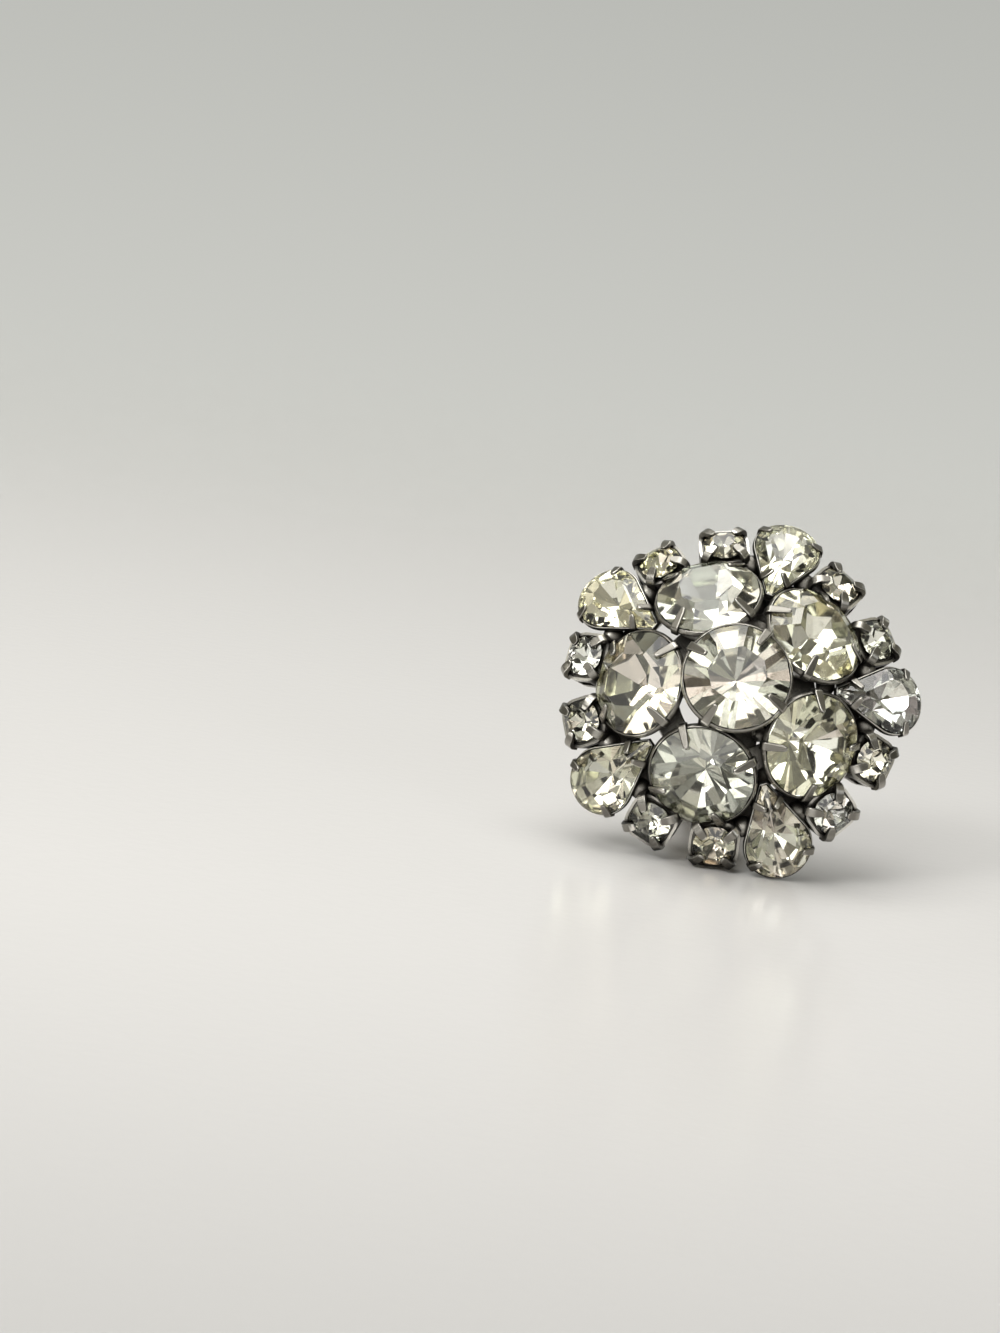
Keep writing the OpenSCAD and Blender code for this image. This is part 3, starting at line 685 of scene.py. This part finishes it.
# The solder
# Soft tin solder was run in where neighbouring cups and the rings touch. It has set in small uneven fillets,
# and at three spots on the left it left the gap between the cups open.
FILLETS = [
    # angle round the dome, distance out, height, size along, across and through
    (13.5, 7.4, -5.9, 1.7, 1.9, 0.8),
    (85.0, 7.4, -5.9, 1.7, 1.9, 0.8),
    (299.0, 7.4, -5.9, 1.7, 1.9, 0.8),
    (310.5, 4.1, -5.6, 1.4, 1.6, 0.8),
]
for i in range(RING_COUNT):
    middle = math.degrees(ring_angle(i) + STEP / 2)
    FILLETS += [(middle + side * 12, 10.9, -7.0, 1.9, 1.9, 1.4) for side in (-1, 1)]
    FILLETS += [(math.degrees(ring_angle(i)), 4.05, -1.8, 0.5, 1.7, 0.7)]


def solder_drop():
    """A drop of solder, one unit across, with a wavy skin."""
    bpy.ops.mesh.primitive_ico_sphere_add(subdivisions=2, radius=0.5)
    start_edit()
    bpy.ops.mesh.select_all(action="SELECT")
    bpy.ops.transform.vertex_random(offset=0.09, seed=3)
    bpy.ops.mesh.subdivide(smoothness=0.8)
    bpy.ops.mesh.vertices_smooth(factor=0.6, repeat=2)
    return finish_piece("solder_drop", 180)


drop = solder_drop()
fillets = []
for number, (angle, out, height, along, across, through) in enumerate(FILLETS):
    place = (STANDS @ Matrix.Rotation(math.radians(angle), 4, "Z")
             @ Matrix.Translation((out * MM, 0, height * MM))
             @ Matrix.Diagonal((along * MM, across * MM, through * MM, 1)) @ Matrix.Rotation(number, 4, "X"))
    fillets.append(copy_to(drop, place, "fillet"))
bpy.data.objects.remove(drop)
in_metal(join_pieces(fillets, "solder_fillets"))

# The clip's bracket
# A small plate soldered to the lower half of the strap has two ears that the hinge pin passes through.
HINGE = Vector((0, -6.1 * MM, -12.8 * MM))
EAR_IN_X, EAR_THICKNESS, EAR_END_R = 2.5 * MM, 0.6 * MM, 1.5 * MM
EAR_FOOT_LOW, EAR_FOOT_HIGH = -8.6 * MM, -3.8 * MM
BRACKET_TOP, BRACKET_BOTTOM, BRACKET_EDGE, EAR_LAP = -8.9 * MM, -9.5 * MM, 0.1 * MM, 0.2 * MM
PIN_R, PIN_BORE_R = 0.5 * MM, 0.51 * MM


def bored_disc(radius, bore, half_length, middle, name):
    """A disc across the hinge's axis with a hole through it, still in edit mode."""
    bpy.ops.mesh.primitive_cylinder_add(vertices=64, radius=radius, depth=2 * half_length, location=middle,
                                        rotation=(0, math.pi / 2, 0))
    bpy.ops.object.transform_apply(location=True, rotation=True)
    bpy.context.object.name = name
    start_edit()
    pick(faces=lambda centre, normal: abs(normal.x) > 0.9)
    bpy.ops.mesh.inset(thickness=radius - bore)
    bpy.ops.mesh.bridge_edge_loops()


def ear(side):
    """One ear: a bored disc whose upper rim is drawn up and widened to the bracket's plate."""
    middle = HINGE + Vector((side * (EAR_IN_X + EAR_THICKNESS / 2), 0, 0))
    bored_disc(EAR_END_R, PIN_BORE_R, EAR_THICKNESS / 2, middle, "ear")
    pick(faces=lambda centre, normal: (centre - middle).length > EAR_END_R * 0.9 and normal.z > 0.02)
    rise = BRACKET_BOTTOM + EAR_LAP - HINGE.z
    bpy.ops.mesh.extrude_region_move(TRANSFORM_OT_translate={"value": (0, 0, rise)})
    foot_y, foot_z = (EAR_FOOT_LOW + EAR_FOOT_HIGH) / 2, BRACKET_BOTTOM + EAR_LAP
    widen = (EAR_FOOT_HIGH - EAR_FOOT_LOW) / 2 / EAR_END_R
    bpy.ops.transform.resize(value=(1, widen, 0), center_override=(middle.x, foot_y, foot_z))
    bpy.ops.transform.translate(value=(0, foot_y - HINGE.y, 0))
    return finish_piece("ear", 30)


def bracket_plate():
    """The oblong plate between the ears, soldered flat on the strap."""
    bpy.ops.mesh.primitive_cube_add(
        size=1, location=(0, (EAR_FOOT_LOW + EAR_FOOT_HIGH) / 2, (BRACKET_TOP + BRACKET_BOTTOM) / 2))
    bpy.ops.transform.resize(
        value=(2 * (EAR_IN_X + EAR_THICKNESS), EAR_FOOT_HIGH - EAR_FOOT_LOW, BRACKET_TOP - BRACKET_BOTTOM))
    bpy.ops.object.transform_apply(location=True, scale=True)
    start_edit()
    piece = finish_piece("bracket_plate", 30)
    add_bevel(piece, BRACKET_EDGE, 2)
    return piece


clip_bracket = join_pieces([bracket_plate(), ear(-1), ear(1)], "clip_bracket")
clip_bracket.data.transform(STANDS)
in_metal(clip_bracket)

# The hinge pin
# A piece of steel wire is pushed through the ears and riveted, so that it has a low round head at each end.
PIN_HEAD_R, PIN_HEAD_H, PIN_HEAD_TOP_SHARE = 0.8 * MM, 0.35 * MM, 0.7
PIN_PAST_EAR = 0.02 * MM


def steel_wire():
    """Drawn steel wire: cooler than the plate, with a soft even shine and a few rust-brown specks."""
    material, tree, output = new_material("steel_wire")
    place = add_node(tree, "ShaderNodeTexCoord")
    specks = add_node(tree, "ShaderNodeTexNoise", {"Scale": 2500.0, "Detail": 3.0},
                      {"Vector": place.outputs["Object"]})
    rust = add_node(tree, "ShaderNodeMapRange", {"From Min": 0.56, "From Max": 0.68},
                    {"Value": specks.outputs["Fac"]})
    colour = add_node(tree, "ShaderNodeMix",
                      {"data_type": "RGBA", 6: linear("#A9A7A2"), 7: linear("#6B4E38")},
                      {0: rust.outputs["Result"]})
    wire = add_node(tree, "ShaderNodeBsdfPrincipled", {"Metallic": 1.0, "Roughness": 0.3},
                    {"Base Color": colour.outputs[2]})
    tree.links.new(wire.outputs["BSDF"], output.inputs["Surface"])
    return material


def riveted_pin():
    """The wire, with both ends swelled to a head and the heads' rims rounded."""
    shaft_half = EAR_IN_X + EAR_THICKNESS + PIN_PAST_EAR
    bpy.ops.mesh.primitive_cylinder_add(vertices=48, radius=PIN_R, depth=2 * shaft_half, location=HINGE,
                                        rotation=(0, math.pi / 2, 0))
    bpy.ops.object.transform_apply(location=True, rotation=True)
    start_edit()
    for side in (-1, 1):
        centre = HINGE + Vector((side * shaft_half, 0, 0))
        pick(faces=lambda middle, normal: normal.x * side > 0.9)
        bpy.ops.mesh.extrude_region_move()
        bpy.ops.transform.resize(value=(1, PIN_HEAD_R / PIN_R, PIN_HEAD_R / PIN_R), center_override=centre)
        half_head = (side * PIN_HEAD_H * 0.5, 0, 0)
        bpy.ops.mesh.extrude_region_move(TRANSFORM_OT_translate={"value": half_head})
        bpy.ops.mesh.extrude_region_move(TRANSFORM_OT_translate={"value": half_head})
        bpy.ops.transform.resize(value=(1, PIN_HEAD_TOP_SHARE, PIN_HEAD_TOP_SHARE), center_override=centre)
    return finish_piece("rivet_pin", 50)


rivet_pin = riveted_pin()
rivet_pin.data.transform(STANDS)
rivet_pin.data.materials.append(steel_wire())
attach(rivet_pin, "earring")
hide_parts("hinge_pin")

# The clip's lever
# A stamped brass blade with a rolled knuckle turns on the pin. Its end widens to a disc with a round pad that
# presses on the ear lobe. Opened, it stands behind the earring like a foot.
KNUCKLE_R, KNUCKLE_HALF, KNUCKLE_BORE_R = 1.2 * MM, 2.35 * MM, 0.53 * MM
LEVER_LENGTH, LEVER_END_R, LEVER_THICKNESS = 14.8 * MM, 3.7 * MM, 0.8 * MM
LEVER_END_Z = HINGE.z - LEVER_LENGTH + LEVER_END_R
LEVER_NECK_W, LEVER_START = 4.0 * MM, 0.75 * MM
KNUCKLE_EDGE, BLADE_EDGE, JUST_ABOVE = 0.08 * MM, 0.12 * MM, 0.02 * MM
PAD_R, PAD_HEIGHT, PAD_EDGE = 2.9 * MM, 1.6 * MM, 0.3 * MM


def knuckle():
    """The rolled tube on the pin."""
    bored_disc(KNUCKLE_R, KNUCKLE_BORE_R, KNUCKLE_HALF, HINGE, "knuckle")
    piece = finish_piece("knuckle", 30)
    add_bevel(piece, KNUCKLE_EDGE, 2)
    return piece


def blade():
    """The disc at the lever's end, with the side that faces the hinge drawn out and narrowed to a neck."""
    bpy.ops.mesh.primitive_cylinder_add(vertices=96, radius=LEVER_END_R, depth=LEVER_THICKNESS,
                                        location=(0, HINGE.y, LEVER_END_Z), rotation=(math.pi / 2, 0, 0))
    bpy.ops.object.transform_apply(location=True, rotation=True)
    start_edit()
    pick(faces=lambda centre, normal: abs(normal.y) < 0.5 and centre.z > LEVER_END_Z + JUST_ABOVE)
    neck_z = HINGE.z - LEVER_START
    bpy.ops.mesh.extrude_region_move(TRANSFORM_OT_translate={"value": (0, 0, neck_z - LEVER_END_Z)})
    narrow = LEVER_NECK_W / 2 / LEVER_END_R
    bpy.ops.transform.resize(value=(narrow, 1, 0), center_override=(0, HINGE.y, neck_z))
    piece = finish_piece("blade", 30)
    add_bevel(piece, BLADE_EDGE, 3, 50)
    return piece


def pad():
    """The round pad on the blade's inner face, with its edge rounded off."""
    top = LEVER_THICKNESS / 2 + PAD_HEIGHT
    bpy.ops.mesh.primitive_cylinder_add(vertices=80, radius=PAD_R, depth=top, rotation=(math.pi / 2, 0, 0),
                                        location=(0, HINGE.y + top / 2, LEVER_END_Z))
    bpy.ops.object.transform_apply(location=True, rotation=True)
    start_edit()
    pick(faces=lambda centre, normal: normal.y > 0.9)
    bpy.ops.mesh.bevel(offset=PAD_EDGE, segments=5)
    return finish_piece("pad", 30)


lever = join_pieces([knuckle(), blade(), pad()], "lever_clip")
lever.data.transform(STANDS)
lever.data.materials.append(plate)
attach(lever, "clip")
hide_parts("clip_lever")

# The round stones
# Pressed and polished glass chatons with a silver foil behind them: a table and eight facets in front, eight
# or sixteen behind that meet in a point. Old foil and glue have yellowed some of them more than others.
GIRDLE_HALF, GIRDLE_APOTHEM = 0.025, 0.955
CROWN, TABLE_APOTHEM, PAVILION = 0.3, 0.52, 0.8
CROWN_FACETS, CUT_WOBBLE, CUT_SEED = 8, math.radians(1.6), 4
YELLOWING = {
    # degree: colour of the glass, colour of the foil
    "clear": ("#FFFFFF", "#F2F3EF"),
    "faint": ("#FFFFFE", "#F2F2E9"),
    "warm": ("#FFFFFD", "#F2F1E5"),
    "yellow": ("#FFFFFC", "#F2F1E1"),
}


def cut_facet(azimuth, slope, distance, height, up):
    """Grinds one facet on the stone in edit mode: it faces azimuth and passes distance out at height."""
    outwards = Vector((math.cos(azimuth), math.sin(azimuth), 0))
    normal = outwards * math.sin(slope) + Vector((0, 0, up * math.cos(slope)))
    bpy.ops.mesh.select_all(action="SELECT")
    bpy.ops.mesh.bisect(plane_co=outwards * distance + Vector((0, 0, height)), plane_no=normal,
                        use_fill=True, clear_outer=True, threshold=1e-8)


def cut_round_stone(radius, back_facets):
    """A round blank with facets ground on its crown and its back, none of them quite true. The sixteen of a
    star cut meet more nearly in one point."""
    edge = GIRDLE_HALF * radius
    table_z = edge + CROWN * radius
    back = edge + PAVILION * radius
    crown_slope = math.atan(CROWN / (GIRDLE_APOTHEM - TABLE_APOTHEM))
    wobble = random.Random(CUT_SEED)
    bpy.ops.mesh.primitive_cylinder_add(vertices=96, radius=radius, depth=table_z + back,
                                        location=(0, 0, (table_z - back) / 2))
    bpy.ops.object.transform_apply(location=True)
    start_edit()
    for k in range(CROWN_FACETS):
        azimuth = k * math.tau / CROWN_FACETS + wobble.uniform(-1, 1) * CUT_WOBBLE
        cut_facet(azimuth, crown_slope + wobble.uniform(-1, 1) * CUT_WOBBLE, GIRDLE_APOTHEM * radius, edge, 1)
    back_wobble = CUT_WOBBLE * (CROWN_FACETS / back_facets) ** 2
    for k in range(back_facets):
        reach = GIRDLE_APOTHEM if back_facets == CROWN_FACETS or k % 2 == 0 else 0.5 + GIRDLE_APOTHEM / 2
        azimuth = k * math.tau / back_facets + wobble.uniform(-1, 1) * CUT_WOBBLE
        back_slope = math.atan(PAVILION / reach)
        cut_facet(azimuth, back_slope + wobble.uniform(-1, 1) * back_wobble, reach * radius, -edge, -1)
    bpy.ops.object.mode_set(mode="OBJECT")
    stone = bpy.context.object
    stone.name = stone.data.name = "round_stone"
    return stone


def polished_glass(name, colour):
    """Lead crystal, polished: clear and bright, a little above window glass in IOR, faintly worn."""
    material, tree, output = new_material(name)
    place = add_node(tree, "ShaderNodeTexCoord")
    wear = add_node(tree, "ShaderNodeTexNoise", {"Scale": 1500.0, "Detail": 6.0, "Roughness": 0.7},
                    {"Vector": place.outputs["Object"]})
    haze = add_node(tree, "ShaderNodeMapRange",
                    {"From Min": 0.55, "From Max": 0.8, "To Min": 0.0, "To Max": 0.06},
                    {"Value": wear.outputs["Fac"]})
    glass = add_node(tree, "ShaderNodeBsdfPrincipled",
                     {"Base Color": linear(colour), "IOR": 1.56, "Transmission Weight": 1.0},
                     {"Roughness": haze.outputs["Result"]})
    tree.links.new(glass.outputs["BSDF"], output.inputs["Surface"])
    return material


def silver_foil(name, colour):
    """Silver leaf under lacquer on the stone's back: a bright mirror, mottled brown where it has failed, and
    darkened and tinted facet by facet as painted shade and painted fire.
    """
    material, tree, output = new_material(name)
    place = add_node(tree, "ShaderNodeTexCoord")
    # The facet tint is painted shade and painted fire, set on each facet of the foil when the stone is
    # placed.
    facet = add_node(tree, "ShaderNodeVertexColor", {"layer_name": "facet_tint_and_painted_shade"})
    mottle = add_node(tree, "ShaderNodeTexNoise", {"Scale": 450.0, "Detail": 6.0, "Roughness": 0.7},
                      {"Vector": place.outputs["Object"]})
    failed = add_node(tree, "ShaderNodeMapRange", {"From Min": 0.56, "From Max": 0.74, "To Max": 0.75},
                      {"Value": mottle.outputs["Fac"]})
    sound = add_node(tree, "ShaderNodeMix",
                     {"data_type": "RGBA", "blend_type": "MULTIPLY", 0: 1.0, 6: linear(colour)},
                     {7: facet.outputs["Color"]})
    mixed = add_node(tree, "ShaderNodeMix", {"data_type": "RGBA", 7: linear("#7A7058")},
                     {0: failed.outputs["Result"], 6: sound.outputs[2]})
    foil = add_node(tree, "ShaderNodeBsdfPrincipled", {"Metallic": 1.0, "Roughness": 0.06},
                    {"Base Color": mixed.outputs[2]})
    tree.links.new(foil.outputs["BSDF"], output.inputs["Surface"])
    return material


SECTORS, SIXTEENTH, MOSTLY_BRIGHT, FACES_BACK = 64, 4, 2.5, -0.3
# Faint hues that paint coloured glints of fire onto some facets of the foil.
PAINTED_FIRE_HUES = ((1, 1, 1), (1, 1, 1), (1, 0.98, 0.94), (0.98, 0.99, 0.95), (1, 0.94, 0.95), (0.97, 0.99, 1))


def set_stone(model, place, name, degree, seed, dulling_and_painted_shade, every_second_painted_shade=1.0):
    """Copies a stone to its seat with glass and foil. The foil is dulled by chance from facet to facet, a few
    of them most, partly as painted shade, every second facet is darkened as painted shade, and faint hues
    paint coloured fire."""
    stone = copy_to(model, place, f"{name}_rhinestone")
    stone.data.materials.clear()
    for made in glass_and_foil[degree]:
        stone.data.materials.append(made)
    tint = stone.data.color_attributes.new("facet_tint_and_painted_shade", "FLOAT_COLOR", "CORNER")
    to_stone = place.to_3x3().inverted()
    for face in stone.data.polygons:
        face.use_smooth = False
        facing = to_stone @ face.normal
        face.material_index = 1 if facing.z < FACES_BACK else 0
        sector = round(math.atan2(facing.y, facing.x) / (math.tau / SECTORS)) % SECTORS
        draw = random.Random(SECTORS * seed + sector)
        # Painted shade: each foil facet is darkened at random, and every second one further, for the light
        # and dark of the facets' reflections.
        shade = 1 - dulling_and_painted_shade * draw.random() ** MOSTLY_BRIGHT
        if round(sector / SIXTEENTH) % 2:
            shade *= every_second_painted_shade
        # Painted fire: a faint hue on some facets stands in for the glass's coloured glints.
        hue = draw.choice(PAINTED_FIRE_HUES)
        for corner in face.loop_indices:
            tint.data[corner].color = (*[shade * c for c in hue], 1)
    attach(stone, "earring")
    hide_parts(f"stone_{name}")


glass_and_foil = {
    degree: (polished_glass(f"{degree}_glass", glass), silver_foil(f"{degree}_foil", foil))
    for degree, (glass, foil) in YELLOWING.items()
}
LARGE_STONES = {
    # name: facets behind, yellowing, turn in eighths, how far the foil is dulled at random (partly painted
    # shade), painted shade of every second facet
    "middle": (16, "faint", 0, 0.45, 0.68),
    "ring_1": (8, "faint", 3, 0.45, 0.95),
    "ring_2": (8, "warm", 5, 0.75, 0.85),
    "ring_3": (16, "faint", 2, 0.45, 0.68),
    "ring_4": (16, "warm", 7, 0.45, 0.95),
    "ring_5": (8, "warm", 4, 0.15, 1.0),
}
large_cuts = {back_facets: cut_round_stone(LARGE_R, back_facets) for back_facets in (8, 16)}
for number, (name, (place, claw_turn)) in enumerate(large_places.items()):
    back_facets, age, eighths, dulling_and_painted_shade, every_second_painted_shade = LARGE_STONES[name]
    turn = Matrix.Rotation(claw_turn + eighths * math.tau / CROWN_FACETS, 4, "Z")
    set_stone(large_cuts[back_facets], place @ turn, name, age, number, dulling_and_painted_shade, every_second_painted_shade)
# The small stones' foil is dulled at random, partly as painted shade, and every second facet is darkened as
# painted shade.
SMALL_DULLING_AND_PAINTED_SHADE, SMALL_EVERY_SECOND_PAINTED_SHADE, SMALL_SEED = 0.75, 0.85, 20
SMALL_AGE = ("warm", "yellow", "clear", "warm", "faint", "warm", "clear", "faint", "faint", "faint")
small_stone = cut_round_stone(SMALL_R, 8)
for i, age in enumerate(SMALL_AGE):
    place = seat(small_angle(i), SMALL_RADIUS, SMALL_DROP, SMALL_TILT)
    set_stone(small_stone, place, f"small_{i + 1}", age, SMALL_SEED + i, SMALL_DULLING_AND_PAINTED_SHADE, SMALL_EVERY_SECOND_PAINTED_SHADE)
for model in (*large_cuts.values(), small_stone):
    bpy.data.objects.remove(model)

# The pear stones
# Foiled glass drops, cut like the round ones: mains round the table, halves under them, and a back that comes
# to a point nearer the round end.
PEAR_PAVILION, PEAR_CULET_X = 1.9 * MM, 0.5 * MM
PEAR_MAINS_DEG = (0, 38, 76, 117, 180, 243, 284, 322)
PEAR_HALVES_DEG = (12, 26, 50, 64, 90, 104, 256, 270, 296, 310, 334, 348)
HALVES_STEEPER, BACK_HALVES_STEEPER = 0.1, 0.08


def pear_reach(azimuth):
    """How far the pear outline reaches in the direction azimuth."""
    past_tip = PEAR_END_R / math.sin(PEAR_HALF_ANGLE) - PEAR_LENGTH / 2 - PEAR_END_X
    tip_half = past_tip * math.tan(PEAR_HALF_ANGLE)
    tip = -PEAR_LENGTH / 2 * math.cos(azimuth) + tip_half * abs(math.sin(azimuth))
    return max(PEAR_END_X * math.cos(azimuth) + PEAR_END_R, tip)


def cut_pear_pair(degrees, steeper, back_steeper):
    """Grinds the crown facet and the back facet that face one way."""
    azimuth = math.radians(degrees)
    reach = pear_reach(azimuth)
    back_run = reach - PEAR_CULET_X * math.cos(azimuth)
    crown_slope = math.atan(PEAR_CROWN / ((1 - PEAR_TABLE_SHARE) * reach)) + steeper
    cut_facet(azimuth, crown_slope, reach, PEAR_GIRDLE / 2, 1)
    cut_facet(azimuth, math.atan(PEAR_PAVILION / back_run) + back_steeper, reach, -PEAR_GIRDLE / 2, -1)


def cut_pear_stone():
    """A pear-shaped blank with its crown and its back ground to facets."""
    edge = PEAR_GIRDLE / 2
    table_z = edge + PEAR_CROWN
    culet_z = -edge - PEAR_PAVILION
    pear_plate(0, culet_z)
    grow_cap(table_z - culet_z, 1, (0, 0, 0))
    for degrees in PEAR_MAINS_DEG:
        cut_pear_pair(degrees, 0, 0)
    for degrees in PEAR_HALVES_DEG:
        cut_pear_pair(degrees, HALVES_STEEPER, BACK_HALVES_STEEPER)
    bpy.ops.mesh.select_all(action="SELECT")
    bpy.ops.mesh.normals_make_consistent(inside=False)
    bpy.ops.object.mode_set(mode="OBJECT")
    stone = bpy.context.object
    stone.name = stone.data.name = "pear_stone"
    return stone


PEAR_AGE = ("warm", "warm", "faint", "clear", "faint")
# How far each pear's foil is dulled at random, partly as painted shade.
PEAR_DULLING_AND_PAINTED_SHADE, PEAR_SEED = (0.05, 0.5, 0.4, 0.5, 0.4), 40
pear_stone = cut_pear_stone()
for i, age in enumerate(PEAR_AGE):
    place = seat(pear_angle(i), PEAR_RADIUS, PEAR_DROP, PEAR_TILT)
    set_stone(pear_stone, place, f"pear_{i + 1}", age, PEAR_SEED + i, PEAR_DULLING_AND_PAINTED_SHADE[i])
bpy.data.objects.remove(pear_stone)
